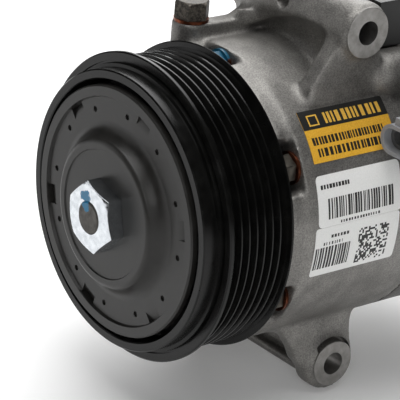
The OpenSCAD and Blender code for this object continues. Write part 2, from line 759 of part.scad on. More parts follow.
module pulley() {
    lip_y = -17.4;
    front_flange_y = -16.1;
    rim = concat(
        [[ring_inner_r, pulley_front_y + 0.4], [ring_inner_r + 0.4, pulley_front_y],
            [band_r - 0.5, pulley_front_y], [band_r, pulley_front_y + 0.5], [band_r, lip_y - 0.3],
            [band_r + 1.2, lip_y], [band_r + 1.4, -15.2], [band_r + 2.2, -15.2],
            [band_r + 2.2, front_flange_y], [flange_r - 0.5, front_flange_y],
            [flange_r, front_flange_y + 0.5],
            [flange_r, front_flange_y + 1.6],
            [tip_r + 0.3, -belt_half + 0.1]],
        [for (i = [0:groove_count - 1]) each groove_points(i)],
        [[tip_r + 0.2, belt_half - 0.2], [flange_r - 0.6, belt_half + 0.1],
            [flange_r - 0.2, belt_half + 0.4],
            [flange_r - 0.2, pulley_rear_y - 0.4], [flange_r - 0.6, pulley_rear_y],
            [50.6, pulley_rear_y], [50.2, 6.5], [33.5, 6.5], [32.5, bearing_half],
            [bearing_outer_r, bearing_half],
            [bearing_outer_r, -bearing_half], [32, -bearing_half], [32.6, 1], [ring_inner_r, 1]]);
    color([0.05, 0.05, 0.05]) {
        turned(rim);
        // Driving ribs between the dampers
        around(6, 30) translate([33.5, -15, -2.5]) cube([16.4, 16.5, 5]);
    }
}

// Rubber blocks between the pulley's ribs and the inner hub's paddles
module damper_rubbers() {
    color([0.06, 0.06, 0.06]) for (side = [-1, 1]) around(6, side * 15) intersection() {
        tube_y(ring_inner_r - 1, 34, -14.5, 0.8);
        sector(10.6, 60, -20, 5);
    }
}

module inner_hub() {
    color([0.30, 0.30, 0.31]) {
        tube_y(11.3, 6.55, nut_seat_y, -10.2);
        difference() {
            rod_y(30, -20.6, -17.4);
            rod_y(11, -22, -16);
        }
        around(6) translate([28, -20.6, -2.4]) cube([19, 3.2, 4.8]);
        around(6) translate([34, -17.6, -2.4]) cube([13, 16, 4.8]);
    }
}

module hub_disc() {
    rear_y = disc_y + disc_t;
    face_y = disc_y + disc_step;
    outline = concat(
        [[11.6, nut_seat_y], [24.3, nut_seat_y], [24.6, boss_y], [26.4, boss_y]],
        arc(26.4, boss_y + 2.4, 2.4, -80, -15, 6),
        [[30.2, disc_y - 0.9], [31.4, disc_y + 0.3], [32.8, face_y - 0.2], [34.4, face_y]],
        [[disc_step_r - 0.4, face_y], [disc_step_r + 0.2, disc_y], [disc_r - 0.6, disc_y],
            [disc_r, disc_y + 0.6], [disc_r, rear_y - 0.5], [disc_r - 0.6, rear_y],
            [30.2, rear_y], [27, disc_y - 2], [11.6, disc_y - 2]]);
    color([0.13, 0.13, 0.13]) difference() {
        turned(outline);
        // Notches across the step, each with a floor that slopes down outwards
        around(6, notch_phase) translate([0, 0, -notch_w / 2]) linear_extrude(height = notch_w)
            polygon([[notch_r0, face_y - 3], [notch_r0, face_y], [notch_r1, rear_y - 0.5],
                [notch_r1, face_y - 3]]);
        around(12, dimple_phase) translate([dimple_pitch_r, 0, 0])
            rod_y(dimple_r, face_y - 1, face_y + 0.8, small_fn);
    }
}

module hub_nut() {
    color([0.80, 0.81, 0.82]) at_angle(nut_phase) difference() {
        translate([0, nut_seat_y, 0]) rotate([90, 0, 0]) hex_head(nut_flats, nut_t);
        rod_y(thread_r + fit_gap, nut_seat_y - nut_t - cut, nut_seat_y + cut);
    }
}

// ---- Control valve, connector and stickers --------------------------------------------------

module at_valve() {
    translate([valve_x, 0, valve_z]) children();
}

module control_valve_body() {
    color([0.60, 0.61, 0.63]) at_valve() difference() {
        turned([[0, valve_seat_y + 1.4], [9.4, valve_seat_y + 1.4], [9.4, 88], [8, 88], [8, 89.6],
            [9.4, 89.6], [9.4, 97], [8, 97], [8, 98.6], [9.4, 98.6], [9.4, 106], [6.5, 110], [0, 110]]);
        rod_y(2.55, valve_seat_y - cut, 102, small_fn);
        rod_x(1.6, -11, 11, small_fn / 2);
        translate([0, 93, 0]) rod_x(1.6, -11, 11, small_fn / 2);
    }
}

module control_valve_plunger() {
    color([0.68, 0.69, 0.70]) at_valve() rod_y(2.5, valve_seat_y + 0.4, 99, small_fn);
}

module control_valve_o_rings() {
    color([0.07, 0.07, 0.07]) at_valve() for (y = [88.8, 97.8]) tube_y(9.45, 8.05, y - 0.6, y + 0.6);
}

module control_valve_clip() {
    color([0.45, 0.46, 0.48]) at_valve() difference() {
        tube_y(9.45, 6, valve_seat_y + 0.2, valve_seat_y + 1.2);
        translate([0, valve_seat_y - 1, -2]) cube([12, 4, 4]);
    }
}

module control_valve_coil() {
    color([0.10, 0.10, 0.10]) at_valve() {
        difference() {
            rod_y(11.6, socket_rear_y, valve_seat_y - 0.05);
            rod_y(3, valve_seat_y - 9, valve_seat_y + cut, small_fn);
        }
    }
}

// A flat-topped oval, centred, with round ends.
module oval(w, h) {
    translate([-w / 2 + h / 2, 0]) circle(r = h / 2, $fn = small_fn);
    translate([w / 2 - h / 2, 0]) circle(r = h / 2, $fn = small_fn);
    square([w - h, h], center = true);
}

module connector_socket() {
    color([0.62, 0.65, 0.70]) at_valve() difference() {
        union() {
            along_y(socket_front_y) linear_extrude(height = socket_rear_y - socket_front_y)
                oval(socket_w, socket_h);
            // Latch block on top
            translate([-latch_w / 2, socket_front_y + 1, socket_h / 2 - 0.5])
                cube([latch_w, socket_rear_y - socket_front_y - 2, 3.4]);
        }
        along_y(socket_front_y - cut) linear_extrude(height = socket_base_y - socket_front_y + cut)
            oval(socket_w - 2 * socket_wall, socket_h - 2 * socket_wall);
        for (side = [-1, 1]) translate([side * pin_x, 0, 0])
            rod_y(pin_r + fit_gap, socket_base_y - cut, socket_rear_y + cut, small_fn);
    }
}

module connector_seal() {
    inner_w = socket_w - 2 * socket_wall;
    inner_h = socket_h - 2 * socket_wall;
    color([0.45, 0.48, 0.53]) at_valve() along_y(socket_base_y - seal_t) linear_extrude(height = seal_t)
        difference() {
            oval(inner_w - 2 * fit_gap, inner_h - 2 * fit_gap);
            oval(inner_w - 3, inner_h - 3);
        }
}

module connector_pins() {
    color([0.80, 0.70, 0.42]) at_valve() for (side = [-1, 1])
        translate([side * pin_x, 0, 0]) rod_y(pin_r, socket_front_y + 2.5, socket_rear_y - 0.05, small_fn);
}

// A thin sticker on the body between two angles and two places along the shaft.
module sticker(angle, half, y0, y1, shade) {
    color(shade) intersection() {
        tube_y(body_r + sticker_t, body_r, y0, y1);
        at_angle(angle) sector(half, 80, y0 - cut, y1 + cut);
    }
}

module upper_sticker() { sticker(38.9, 10.1, 26.4, 67, [0.85, 0.62, 0.16]); }
module lower_sticker() { sticker(4.7, 20, 25, 66, [0.92, 0.92, 0.91]); }

front_housing();
cylinder_block();
rear_housing();
front_gasket();
rear_gasket();
valve_plate();
suction_reed_plate();
discharge_reed_plate();
through_bolts();
bolt_washers();
oil_plug();
oil_plug_washer();
locating_dowels();
shaft_seal();
seal_retaining_ring();
front_needle_bearing();
rear_needle_bearing();
front_thrust_bearing();
rear_thrust_bearing();
pulley_bearing_inner_race();
pulley_snap_ring();
piston_1();
piston_2();
piston_3();
piston_4();
piston_5();
piston_6();
piston_shoes();
control_valve_body();
control_valve_coil();
control_valve_plunger();
control_valve_o_rings();
control_valve_clip();
connector_socket();
connector_pins();
connector_seal();
relief_valve();
discharge_check_valve();
port_cover();
port_cover_screw();
upper_sticker();
lower_sticker();
pulley();
pulley_bearing_outer_race();
damper_rubbers();
inner_hub();
hub_disc();
hub_nut();
drive_shaft();
lug_plate();
swash_plate();
hinge_pin();
destroke_spring();
return_spring();
bearing_balls();
bearing_cage();
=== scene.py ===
"""The looks of the compressor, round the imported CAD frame: castings, coatings, stickers, floor, light
and camera."""
import json
import math
import random

import bmesh
import bpy
import numpy as np
from mathutils import Matrix, Vector

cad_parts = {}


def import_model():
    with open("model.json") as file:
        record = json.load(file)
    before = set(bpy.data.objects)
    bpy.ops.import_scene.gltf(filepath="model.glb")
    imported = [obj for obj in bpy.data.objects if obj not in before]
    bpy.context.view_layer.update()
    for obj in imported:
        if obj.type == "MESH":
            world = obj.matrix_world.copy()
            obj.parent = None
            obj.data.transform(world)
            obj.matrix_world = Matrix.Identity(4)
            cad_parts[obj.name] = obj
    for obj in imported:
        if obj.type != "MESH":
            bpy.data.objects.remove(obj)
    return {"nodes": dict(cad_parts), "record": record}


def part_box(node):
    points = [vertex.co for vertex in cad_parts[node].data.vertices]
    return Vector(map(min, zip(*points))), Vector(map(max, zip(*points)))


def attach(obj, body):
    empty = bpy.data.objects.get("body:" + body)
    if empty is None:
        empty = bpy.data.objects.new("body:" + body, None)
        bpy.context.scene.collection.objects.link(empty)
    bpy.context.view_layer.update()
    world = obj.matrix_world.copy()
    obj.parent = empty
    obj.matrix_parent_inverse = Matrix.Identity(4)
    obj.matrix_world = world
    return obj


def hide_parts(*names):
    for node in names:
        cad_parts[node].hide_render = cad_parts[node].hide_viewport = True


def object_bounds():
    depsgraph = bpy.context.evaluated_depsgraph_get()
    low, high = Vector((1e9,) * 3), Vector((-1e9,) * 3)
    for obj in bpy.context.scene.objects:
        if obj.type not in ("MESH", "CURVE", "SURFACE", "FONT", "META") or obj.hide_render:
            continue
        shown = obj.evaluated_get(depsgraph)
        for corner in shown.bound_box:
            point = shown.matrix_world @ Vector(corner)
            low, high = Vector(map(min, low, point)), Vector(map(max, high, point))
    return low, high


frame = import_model()
cad_low, cad_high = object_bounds()
NODES = frame["nodes"]
SLOTS = {part["node"]: part["material_slot"] for part in frame["record"]["subparts"]}
BODIES = frame["record"]["behaviour"]["bodies"]
MOUNTS = {mount["name"]: mount for mount in frame["record"]["mounts"]}
MM = 0.001

# ---- Places, in millimetres of the row frame -------------------------------------------------

def in_mm(metres):
    return round(metres / MM, 3)


# The gaskets end this far inside the castings' skin.
GASKET_INSET = 0.4
BODY_R = (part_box("front_gasket")[1].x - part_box("front_gasket")[0].x) / 2 / MM + GASKET_INSET
SEAM_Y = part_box("front_gasket")[0].y / MM
REAR_SEAM_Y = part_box("rear_gasket")[1].y / MM
# The mounting ears: their bores run along X, and the outer face of each is at EAR_X from the middle.
UPPER_BORE = MOUNTS["upper_mounting_bore"]
LOWER_BORE = MOUNTS["lower_mounting_bore_right"]
EAR_Y = in_mm(UPPER_BORE["pos_m"][1])
EAR_X = UPPER_BORE["dims"]["length_mm"] / 2
UPPER_EAR_Z = in_mm(UPPER_BORE["pos_m"][2])
LOWER_EAR_Z = in_mm(LOWER_BORE["pos_m"][2])
UPPER_FACE_R = 9.8
LOWER_FACE_R = 9.3
# How deep the crisp, machined end of each ear goes.
FACING_DEPTH = 7.0
BORE_R = UPPER_BORE["dims"]["r_mm"]
LOCATING_BORE_R = MOUNTS["lower_mounting_bore_left"]["dims"]["r_mm"]
# How far from the middle the ears' drills start and end, and the one through the upper tube ends.
DRILL_FROM = 20.0
DRILL_TO = EAR_X + 3.0
TUBE_DRILL_TO = 30.0
BOLT_ANGLES = [30 + 60 * i for i in range(6)]
BOLT_PITCH_R = 50.5
BOLT_SEAT_Y = in_mm(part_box("bolt_washers")[1].y)
# The oil plug stands at this (x, y), and the lower bracket's wall ends in a bead at this (y, z).
PLUG = tuple(in_mm((low + high) / 2) for low, high in zip(*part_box("oil_plug")))[:2]
BEAD = (56.2, -74.2)
# The upper bracket's blind hole for a harness clip: its (x, z), and where along y the drill goes.
CLIP_HOLE = (3.4, 73.8)
CLIP_HOLE_R = 3.2
CLIP_HOLE_Y = (38.0, 48.6)
# A sticker's film, and how low and high over the body the ink on it lies.
FILM_T = 0.2
INK_LOW = FILM_T - 0.01
INK_HIGH = FILM_T + 0.03


def body_of(node):
    return next(body for body, members in BODIES.items() if node in members)


def srgb(red, green, blue):
    """A colour given as 0 to 255 in sRGB, as the linear values that a shader takes."""
    def linear(value):
        value /= 255
        return value / 12.92 if value <= 0.04045 else ((value + 0.055) / 1.055) ** 2.4
    return (linear(red), linear(green), linear(blue), 1.0)


# ---- Materials -------------------------------------------------------------------------------

class Finish:
    """A procedural material. Its places and sizes are in millimetres of the object's own space."""

    def __init__(self, name, metallic=0.0, specular=0.5):
        self.material = bpy.data.materials.new(name)
        self.material.use_nodes = True
        self.tree = self.material.node_tree
        self.tree.nodes.clear()
        self.shader = self.tree.nodes.new("ShaderNodeBsdfPrincipled")
        output = self.tree.nodes.new("ShaderNodeOutputMaterial")
        self.tree.links.new(self.shader.outputs["BSDF"], output.inputs["Surface"])
        self.shader.inputs["Metallic"].default_value = metallic
        self.shader.inputs["Specular IOR Level"].default_value = specular
        coordinates = self.tree.nodes.new("ShaderNodeTexCoord")
        scale = self.tree.nodes.new("ShaderNodeMapping")
        scale.inputs["Scale"].default_value = (1 / MM,) * 3
        self.tree.links.new(coordinates.outputs["Object"], scale.inputs["Vector"])
        self.place = scale.outputs["Vector"]

    def node(self, kind, operation=None, **inputs):
        """Adds a shader node. Inputs are given by name, or by place as i0, i1 and so on."""
        made = self.tree.nodes.new(kind)
        if operation:
            made.operation = operation
        for key, value in inputs.items():
            socket = made.inputs[int(key[1:])] if key[1:].isdigit() else made.inputs[key.replace("_", " ")]
            if isinstance(value, bpy.types.NodeSocket):
                self.tree.links.new(value, socket)
            else:
                socket.default_value = value
        return made

    def noise(self, size, detail=3.0, roughness=0.55):
        """Noise from 0 to 1 with grains of about that size."""
        made = self.node("ShaderNodeTexNoise", Vector=self.place, Scale=1 / size, Detail=detail,
                         Roughness=roughness)
        return made.outputs["Fac"]

    def pits(self, size):
        """Distance to the nearest of many scattered points, from 0 at a point."""
        return self.node("ShaderNodeTexVoronoi", Vector=self.place, Scale=1 / size).outputs["Distance"]

    def rings(self, axis, centre, size):
        """Noise that runs in rings about an axis, as turning or facing leaves it."""
        flat = [0.0 if i == axis else 1.0 for i in range(3)]
        away = self.node("ShaderNodeVectorMath", "SUBTRACT", i0=self.place, i1=centre).outputs[0]
        away = self.node("ShaderNodeVectorMath", "MULTIPLY", i0=away, i1=flat).outputs[0]
        radius = self.node("ShaderNodeVectorMath", "LENGTH", i0=away).outputs["Value"]
        line = self.node("ShaderNodeCombineXYZ", X=radius).outputs[0]
        made = self.node("ShaderNodeTexNoise", Vector=line, Scale=1 / size, Detail=2.0)
        return made.outputs["Fac"]

    def spot(self, centre, radius, ragged=0.35):
        """1 inside a ragged round patch about a point, and 0 outside it."""
        away = self.node("ShaderNodeVectorMath", "DISTANCE", i0=self.place, i1=centre).outputs["Value"]
        wobble = self.between(self.noise(radius * 0.8), 0.3, 0.7, -ragged * radius, ragged * radius)
        edge = self.node("ShaderNodeMath", "ADD", i0=away, i1=wobble).outputs[0]
        return self.between(edge, radius * 0.92, radius * 1.08, 1.0, 0.0)

    def between(self, value, low, high, to_low, to_high):
        """Maps low..high onto to_low..to_high, and holds it there outside."""
        made = self.node("ShaderNodeMapRange", i0=value, i1=low, i2=high, i3=to_low, i4=to_high)
        return made.outputs["Result"]

    def mix(self, factor, first, second):
        made = self.tree.nodes.new("ShaderNodeMix")
        made.data_type = "RGBA"
        for socket, value in ((made.inputs[0], factor), (made.inputs[6], first), (made.inputs[7], second)):
            if isinstance(value, bpy.types.NodeSocket):
                self.tree.links.new(value, socket)
            else:
                socket.default_value = value
        return made.outputs[2]

    def set(self, colour=None, roughness=None, metallic=None):
        for name, value in (("Base Color", colour), ("Roughness", roughness), ("Metallic", metallic)):
            if value is None:
                continue
            if isinstance(value, bpy.types.NodeSocket):
                self.tree.links.new(value, self.shader.inputs[name])
            else:
                self.shader.inputs[name].default_value = value

    def bump(self, *layers):
        """Adds layers of (height from 0 to 1, depth in millimetres), each on top of the last."""
        normal = None
        for height, depth in layers:
            made = self.node("ShaderNodeBump", Height=height, Distance=depth * MM)
            if normal is not None:
                self.tree.links.new(normal, made.inputs["Normal"])
            normal = made.outputs["Normal"]
        self.tree.links.new(normal, self.shader.inputs["Normal"])
        return self.material


def cast_aluminium(name, dark, light):
    """Die-cast skin: grainy, mottled, a little darker in broad patches."""
    f = Finish(name, metallic=0.82)
    grain = f.noise(0.55, detail=4.0, roughness=0.7)
    mottle = f.noise(9.0, detail=4.0)
    tone = f.mix(f.between(mottle, 0.35, 0.65, 0.0, 1.0), dark, light)
    specks = f.between(grain, 0.36, 0.66, 0.58, 1.30)
    colour = f.node("ShaderNodeVectorMath", "SCALE", i0=tone, Scale=specks).outputs[0]
    f.set(colour, f.between(grain, 0.3, 0.7, 0.40, 0.60))
    return f.bump((f.noise(6.0, detail=2.0), 0.05), (grain, 0.10), (f.pits(0.9), 0.035))


def machined_aluminium(name, axis, centre):
    """A faced surface: flat, mid-grey, with fine rings about its bore."""
    f = Finish(name, metallic=0.9)
    lines = f.rings(axis, centre, 0.18)
    stain = f.noise(3.0, detail=4.0)
    f.set(f.mix(f.between(stain, 0.35, 0.7, 0.0, 1.0), srgb(132, 130, 127), srgb(156, 154, 151)),
          f.between(lines, 0.3, 0.7, 0.34, 0.48))
    return f.bump((lines, 0.012), (f.noise(0.4), 0.012))


def steel(name, dark, light, roughness=0.38):
    f = Finish(name, metallic=1.0)
    grain = f.noise(0.25, detail=3.0)
    stain = f.noise(2.6, detail=4.0)
    f.set(f.mix(f.between(stain, 0.35, 0.65, 0.0, 1.0), dark, light),
          f.between(grain, 0.3, 0.7, roughness - 0.06, roughness + 0.08))
    return f.bump((grain, 0.010))


def painted_steel(name, dark, light, paint, centre, radius, roughness=0.38):
    """Steel with a ragged dab of marking paint about a point."""
    f = Finish(name)
    grain = f.noise(0.25, detail=3.0)
    stain = f.noise(2.6, detail=4.0)
    metal = f.mix(f.between(stain, 0.35, 0.65, 0.0, 1.0), dark, light)
    mask = f.spot(centre, radius)
    tint = f.mix(f.noise(0.9), tuple(0.6 * c for c in paint[:3]) + (1.0,), paint)
    f.set(f.mix(mask, metal, tint), f.between(grain, 0.3, 0.7, roughness - 0.05, roughness + 0.07),
          f.between(mask, 0.0, 1.0, 1.0, 0.0))
    return f.bump((grain, 0.010), (mask, 0.03))


def patina(name):
    """The old plug: mottled brown-black with rubbed lighter patches."""
    f = Finish(name, metallic=0.7)
    mottle = f.noise(1.3, detail=6.0, roughness=0.7)
    f.set(f.mix(f.between(mottle, 0.42, 0.66, 0.0, 1.0), srgb(44, 40, 36), srgb(104, 98, 90)),
          f.between(mottle, 0.3, 0.7, 0.36, 0.6))
    return f.bump((mottle, 0.06), (f.noise(0.3), 0.02))


def gloss_black(name):
    """The pulley's coating: deep black, nearly even, with a trace of dust."""
    f = Finish(name, specular=0.22)
    dust = f.noise(5.0, detail=4.0)
    bare, dusty = (0.0035, 0.0035, 0.0033, 1), (0.0075, 0.0075, 0.007, 1)
    f.set(f.mix(f.between(dust, 0.4, 0.75, 0.0, 1.0), bare, dusty), f.between(dust, 0.3, 0.7, 0.20, 0.26))
    return f.bump((f.noise(14.0, detail=1.0), 0.02))


def satin_disc(name):
    """The hub disc's coating: dark grey satin over faint pressing marks."""
    f = Finish(name, specular=0.34)
    grain = f.noise(0.22, detail=3.0)
    rub = f.noise(7.0, detail=4.0)
    f.set(f.mix(f.between(rub, 0.35, 0.7, 0.0, 1.0), (0.013, 0.0125, 0.0115, 1), (0.021, 0.020, 0.0185, 1)),
          f.between(rub, 0.3, 0.7, 0.30, 0.40))
    return f.bump((f.rings(1, (0, 0, 0), 0.5), 0.010), (grain, 0.009), (f.noise(14.0, detail=1.0), 0.05))


def rubber(name, shade=0.018):
    f = Finish(name, specular=0.35)
    grain = f.noise(0.4, detail=4.0)
    tone = f.mix(grain, (shade * 0.7,) * 3 + (1,), (shade * 1.4,) * 3 + (1,))
    f.set(tone, f.between(grain, 0.3, 0.7, 0.6, 0.8))
    return f.bump((grain, 0.03))


def moulded(name, dark, light, roughness=0.42):
    """Moulded plastic with a fine spark texture."""
    f = Finish(name)
    grain = f.noise(0.3, detail=2.0)
    cloud = f.noise(5.0, detail=3.0)
    f.set(f.mix(cloud, dark, light), f.between(grain, 0.3, 0.7, roughness - 0.06, roughness + 0.08))
    return f.bump((grain, 0.012))


def film(name, dark, light, roughness=0.34):
    """Printed film: nearly even, with the print's fine mottle and the skin under it showing a little."""
    f = Finish(name, specular=0.4)
    mottle = f.noise(0.5, detail=4.0)
    f.set(f.mix(f.between(mottle, 0.3, 0.7, 0.0, 1.0), dark, light),
          f.between(mottle, 0.3, 0.7, roughness, roughness + 0.08))
    return f.bump((f.noise(3.0, detail=2.0), 0.02))


BLUE = srgb(22, 118, 160)
DARK_BLUE = srgb(8, 92, 122)
NUT_FACE_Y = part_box("hub_nut")[0].y / MM
SHAFT_FACE_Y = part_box("drive_shaft")[0].y / MM
TOP_BOLT = (-1.0, BOLT_SEAT_Y - 4.0, BOLT_PITCH_R + 4.0)

LOOKS = {
    "cast_housing": cast_aluminium("cast_housing", srgb(122, 120, 117), srgb(142, 140, 136)),
    "cast_block": cast_aluminium("cast_block", srgb(102, 100, 97), srgb(118, 116, 113)),
    "cast_rear": cast_aluminium("cast_rear", srgb(120, 119, 117), srgb(136, 135, 133)),
    "gasket": rubber("gasket", 0.02),
    "steel": steel("steel", srgb(150, 152, 155), srgb(188, 190, 193)),
    "spring_steel": steel("spring_steel", srgb(120, 123, 130), srgb(160, 163, 170), 0.3),
    "bolt_steel": painted_steel("bolt_steel", srgb(52, 50, 46), srgb(84, 80, 74), DARK_BLUE, TOP_BOLT, 6.5,
                                0.42),
    "copper": painted_steel("copper", srgb(78, 46, 34), srgb(132, 76, 54), DARK_BLUE, TOP_BOLT, 7.0, 0.36),
    "plug_steel": patina("plug_steel"),
    "seal_rubber": rubber("seal_rubber"),
    "bearing_steel": steel("bearing_steel", srgb(176, 178, 182), srgb(208, 210, 213), 0.2),
    "piston_alloy": steel("piston_alloy", srgb(176, 177, 179), srgb(206, 207, 209), 0.34),
    "black_plastic": moulded("black_plastic", (0.006, 0.006, 0.006, 1), (0.012, 0.012, 0.011, 1)),
    "connector_plastic": moulded("connector_plastic", srgb(134, 136, 139), srgb(156, 158, 161), 0.4),
    "terminal_brass": steel("terminal_brass", srgb(176, 146, 84), srgb(214, 188, 126), 0.28),
    "connector_rubber": rubber("connector_rubber", 0.10),
    "sticker_yellow": film("sticker_yellow", srgb(206, 152, 40), srgb(228, 178, 64)),
    "sticker_white": film("sticker_white", srgb(226, 226, 224), srgb(236, 236, 234)),
    "pulley_paint": gloss_black("pulley_paint"),
    "damper_rubber": rubber("damper_rubber", 0.012),
    "hub_steel": steel("hub_steel", srgb(92, 92, 93), srgb(122, 122, 124), 0.45),
    "disc_paint": satin_disc("disc_paint"),
    "zinc": painted_steel("zinc", srgb(196, 201, 206), srgb(222, 226, 230), BLUE,
                          (-2.6, NUT_FACE_Y, 7.6), 2.6, 0.2),
    "shaft_steel": painted_steel("shaft_steel", srgb(72, 70, 68), srgb(94, 92, 88), BLUE,
                                 (-2.0, SHAFT_FACE_Y, 4.6), 2.4, 0.5),
    "swash_coating": steel("swash_coating", srgb(150, 126, 84), srgb(184, 160, 112), 0.4),
}
INK = film("sticker_ink", (0.010, 0.010, 0.009, 1), (0.018, 0.018, 0.017, 1), 0.4)
YELLOW_INK = film("sticker_yellow_ink", srgb(214, 164, 60), srgb(230, 186, 84))
FACED_UPPER = machined_aluminium("faced_upper", 0, (0, EAR_Y, UPPER_EAR_Z))
FACED_LOWER = machined_aluminium("faced_lower", 0, (0, EAR_Y, LOWER_EAR_Z))


# ---- Mesh work -------------------------------------------------------------------------------

def new_object(name, data):
    made = bpy.data.objects.new(name, data)
    bpy.context.scene.collection.objects.link(made)
    return made


def from_bmesh(name, bm):
    mesh = bpy.data.meshes.new(name)
    bm.to_mesh(mesh)
    bm.free()
    return new_object(name, mesh)


def cad_bmesh(node):
    """A welded copy of a CAD node's mesh."""
    bm = bmesh.new()
    bm.from_mesh(NODES[node].data)
    bmesh.ops.remove_doubles(bm, verts=bm.verts, dist=1e-6)
    return bm


def apply_modifiers(obj):
    """Replaces an object's mesh by what its modifiers make of it."""
    graph = bpy.context.evaluated_depsgraph_get()
    mesh = bpy.data.meshes.new_from_object(obj.evaluated_get(graph))
    obj.modifiers.clear()
    old = obj.data
    obj.data = mesh
    bpy.data.meshes.remove(old)


def smooth_by_angle(mesh, degrees):
    """Smooth shading, except across edges sharper than that."""
    mesh.polygons.foreach_set("use_smooth", [True] * len(mesh.polygons))
    mesh.set_sharp_from_angle(angle=math.radians(degrees))


def wear(obj, *materials):
    obj.data.materials.clear()
    for material in materials:
        obj.data.materials.append(material)
    return obj


def stand_for(obj, node):
    """obj takes the place of a CAD node: it rides with the node's body, and the node is hidden."""
    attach(obj, body_of(node))
    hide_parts(node)


def voxel_remesh(obj, voxel):
    made = obj.modifiers.new("remesh", "REMESH")
    made.mode = "VOXEL"
    made.voxel_size = voxel * MM
    apply_modifiers(obj)


def relax(mesh, passes, held, outward=1.0, inward=0.14, stride=0.6, refresh=6):
    """Fills inner corners like a casting's fillets, and rounds outer edges a little.
    held is 1 for the points that stay where they are. The normals are made anew every few passes."""
    count = len(mesh.vertices)
    place = np.empty(count * 3)
    mesh.vertices.foreach_get("co", place)
    place = place.reshape(-1, 3)
    ends = np.empty(len(mesh.edges) * 2, np.int32)
    mesh.edges.foreach_get("vertices", ends)
    first, second = ends.reshape(-1, 2).T
    degree = np.bincount(ends, minlength=count)[:, None]
    free = 1.0 - held(place / MM)
    for step in range(passes):
        if step % refresh == 0:
            mesh.vertices.foreach_set("co", place.ravel())
            mesh.update()
            normal = np.empty(count * 3)
            mesh.vertex_normals.foreach_get("vector", normal)
            normal = normal.reshape(-1, 3)
        total = np.stack([np.bincount(first, place[second, k], count)
                          + np.bincount(second, place[first, k], count) for k in range(3)], 1)
        pull = total / degree - place
        along = (pull * normal).sum(1)
        place += pull * (np.where(along > 0, outward, inward) * free * stride)[:, None]
    mesh.vertices.foreach_set("co", place.ravel())
    mesh.update()


def tube(radius, inner, x0, x1, y, z, bevel=0.25, segments=96):
    """A bored cylinder along X with small chamfers, as a bmesh."""
    profile = [(inner, x0), (radius - bevel, x0), (radius, x0 + bevel), (radius, x1 - bevel),
               (radius - bevel, x1), (inner, x1)]
    bm = bmesh.new()
    rows = []
    for i in range(segments):
        a = 2 * math.pi * i / segments
        rows.append([bm.verts.new((x * MM, (y + r * math.cos(a)) * MM, (z + r * math.sin(a)) * MM))
                     for r, x in profile])
    for i in range(segments):
        one, two = rows[i], rows[(i + 1) % segments]
        for k in range(len(profile)):
            m = (k + 1) % len(profile)
            bm.faces.new((one[k], one[m], two[m], two[k]))
    bmesh.ops.recalc_face_normals(bm, faces=bm.faces)
    return bm


def drill(radius, start, end, segments=96):
    """A plain round cutter from one point to another."""
    bm = bmesh.new()
    start, end = Vector(start) * MM, Vector(end) * MM
    turn = Matrix.Translation((start + end) / 2) @ (end - start).to_track_quat("Z", "Y").to_matrix().to_4x4()
    bmesh.ops.create_cone(bm, cap_ends=True, segments=segments, radius1=radius * MM, radius2=radius * MM,
                          depth=(end - start).length, matrix=turn)
    return from_bmesh("cutter", bm)


def boolean(obj, other, operation):
    """Joins or cuts obj with other, which is used up."""
    made = obj.modifiers.new("boolean", "BOOLEAN")
    made.object = other
    made.operation = operation
    made.solver = "MANIFOLD"
    apply_modifiers(obj)
    bpy.data.objects.remove(other)


# ---- Castings --------------------------------------------------------------------------------

def bolt_distance(place):
    """Distance of each point from the nearest through-bolt's axis."""
    centres = [(BOLT_PITCH_R * math.cos(math.radians(a)), BOLT_PITCH_R * math.sin(math.radians(a)))
               for a in BOLT_ANGLES]
    return np.min([np.hypot(place[:, 0] - x, place[:, 2] - z) for x, z in centres], 0)


def held_front(place):
    """What the relaxing leaves alone: the seam, the bolt pockets, the plug's seat, the shaft's nose and
    chamber, the ground under the stickers, and the bead."""
    x, y, z = place.T
    reach = np.hypot(x, z)
    turn = np.degrees(np.arctan2(z, x))
    seam = y > SEAM_Y - 0.7
    pockets = (bolt_distance(place) < 8.6) & (y < BOLT_SEAT_Y + 1.2)
    plug = (np.hypot(x - PLUG[0], y - PLUG[1]) < 6.9) & (z > 61.0)
    centre = reach < 30
    under_stickers = (abs(reach - BODY_R) < 0.4) & (y > 24) & (y < 70) & (turn > -18) & (turn < 50.5)
    bead = np.hypot(y - BEAD[0], z - BEAD[1]) < 2.6
    return (seam | pockets | plug | centre | under_stickers | bead).astype(float)


def relief(z, side):
    """The curved relief that the facing tool leaves in the web above a lower ear's face: a ring round
    the face, of which a cube keeps the upper stretch, all but its foremost bit."""
    width = 1.3
    floor_x = 36.3
    ends = sorted((side * floor_x, side * DRILL_TO))
    ring = from_bmesh("relief", tube(LOWER_FACE_R + width, LOWER_FACE_R, *ends, EAR_Y, z, bevel=0.05))
    cube_half = 20.0
    cube_front, cube_bottom = EAR_Y - 7.4, z + 3.0
    cube_centre = Vector((side * 40.0, cube_front + cube_half, cube_bottom + cube_half)) * MM
    half = bmesh.new()
    bmesh.ops.create_cube(half, size=2 * cube_half * MM, matrix=Matrix.Translation(cube_centre))
    boolean(ring, from_bmesh("half", half), "INTERSECT")
    return ring


